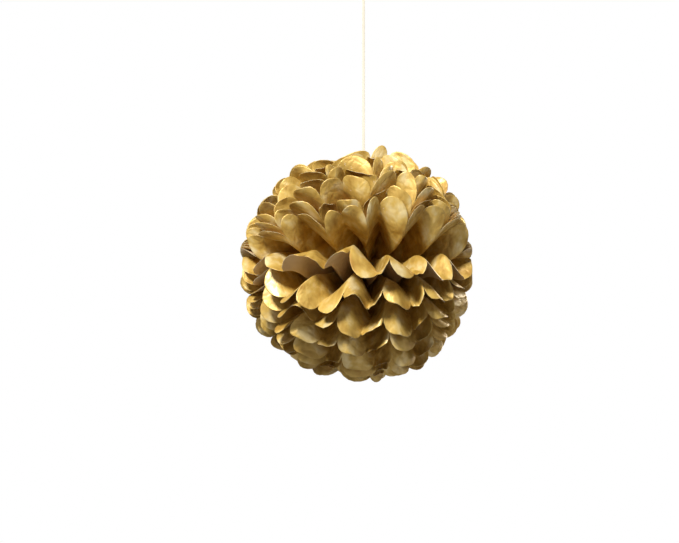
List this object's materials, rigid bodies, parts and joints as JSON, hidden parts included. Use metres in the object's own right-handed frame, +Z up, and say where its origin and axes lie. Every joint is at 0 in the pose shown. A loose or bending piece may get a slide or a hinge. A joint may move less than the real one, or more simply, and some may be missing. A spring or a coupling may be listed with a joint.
{
  "type": "tissue paper pom pom",
  "caption": "Hanging ball of pleated gold tissue paper with rounded petal ends, tied at the waist and hung from a white ribbon.",
  "frame": {"origin": "the top of the ribbon loop, where it hangs on its hook", "axes": "+Z up along the ribbon, -Y towards the fluffed front of the ball that faces the viewer, +X to the viewer's right"},
  "size_m": [0.2523, 0.2605, 0.4622],
  "materials": {
    "tissue_gold": "metallic gold print on one face, dull taupe back",
    "tie_coating": "smooth plastic coating over a soft wire",
    "ribbon_white": "woven satin"
  },
  "bodies": {
    "root": {"sheet_01": "tissue_gold", "sheet_02": "tissue_gold", "sheet_03": "tissue_gold", "sheet_04": "tissue_gold", "sheet_05": "tissue_gold", "sheet_06": "tissue_gold", "sheet_07": "tissue_gold", "sheet_08": "tissue_gold", "sheet_09": "tissue_gold", "sheet_10": "tissue_gold", "sheet_11": "tissue_gold", "sheet_12": "tissue_gold", "sheet_13": "tissue_gold", "sheet_14": "tissue_gold", "tie_wire": "tie_coating", "ribbon_knot": "ribbon_white", "hanging_ribbon": "ribbon_white", "hanging_loop": "ribbon_white"}
  },
  "joints": []
}
